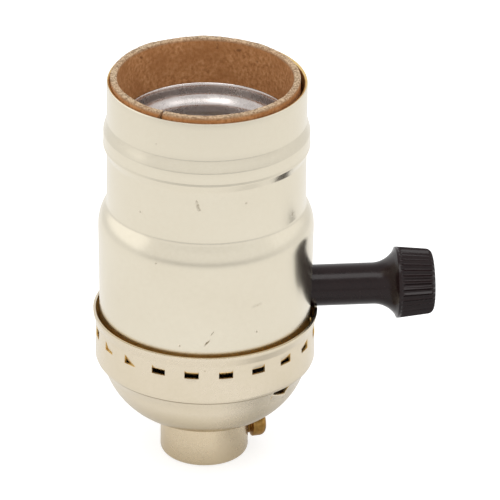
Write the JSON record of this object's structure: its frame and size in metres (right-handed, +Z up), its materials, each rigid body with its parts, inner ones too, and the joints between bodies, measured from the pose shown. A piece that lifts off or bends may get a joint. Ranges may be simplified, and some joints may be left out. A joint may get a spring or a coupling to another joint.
{
  "type": "rotary knob lamp socket",
  "caption": "Metal lamp socket with a screw shell, board liner, snap-fit cap, threaded hub and a side knob that turns a rotary switch.",
  "frame": {"origin": "centre of the hub's bottom face, on the lamp axis", "axes": "+Z up the lamp axis towards the lamp, +X out along the knob, +Y completes the right-handed frame"},
  "size_m": [0.0565, 0.037, 0.0684],
  "materials": {
    "gilt_sheet": "pale gilt, satin",
    "gilt_hub": "pale gilt, satin",
    "fibre_board": "brown fibre board",
    "shell_aluminium": "bright rolled sheet",
    "moulded_body": "dark phenolic moulding",
    "rotor_plastic": "pale moulded drum",
    "knob_plastic": "dark brown-black moulding",
    "contact_brass": "stamped brass",
    "screw_brass": "turned brass, darkened",
    "plated_strip": "tin-plated strip",
    "plated_screw": "plated screw",
    "rivet_metal": "aluminium rivet",
    "shaft_steel": "bright steel"
  },
  "bodies": {
    "socket": {"outer_shell": "gilt_sheet", "insulating_liner": "fibre_board", "cap": "gilt_sheet", "cap_insulator": "fibre_board", "threaded_hub": "gilt_hub", "screw_shell": "shell_aluminium", "switch_housing": "moulded_body", "switch_base": "moulded_body", "shell_rivets": "rivet_metal", "contact_stud": "contact_brass", "centre_leaf": "contact_brass", "hot_terminal": "contact_brass", "neutral_terminal": "plated_strip", "hot_terminal_screw": "screw_brass", "neutral_terminal_screw": "plated_screw", "shaft_bushing": "contact_brass", "detent_spring": "shaft_steel"},
    "knob_and_rotor": {"knob": "knob_plastic", "switch_shaft": "shaft_steel", "rotor": "rotor_plastic", "rotor_contact": "contact_brass", "retaining_clip": "shaft_steel"},
    "set_screw": {"set_screw": "screw_brass"},
    "centre_contact": {"centre_contact": "contact_brass"}
  },
  "joints": [
    {"name": "knob_turn", "type": "hinge", "parent": "socket", "child": "knob_and_rotor", "pos_m": [0, 0, 0.0295], "axis": [1, 0, 0], "continuous": true},
    {"name": "set_screw_travel", "type": "slide", "parent": "socket", "child": "set_screw", "axis": [0.9877, 0.1564, 0], "range_m": [-0.0005, 0.002]},
    {"name": "contact_press", "type": "hinge", "parent": "socket", "child": "centre_contact", "pos_m": [-0.00325, 0, 0.0376], "axis": [0, 1, 0], "range_deg": [0, 6], "stiffness_Nm_per_rad": 0.05}
  ]
}
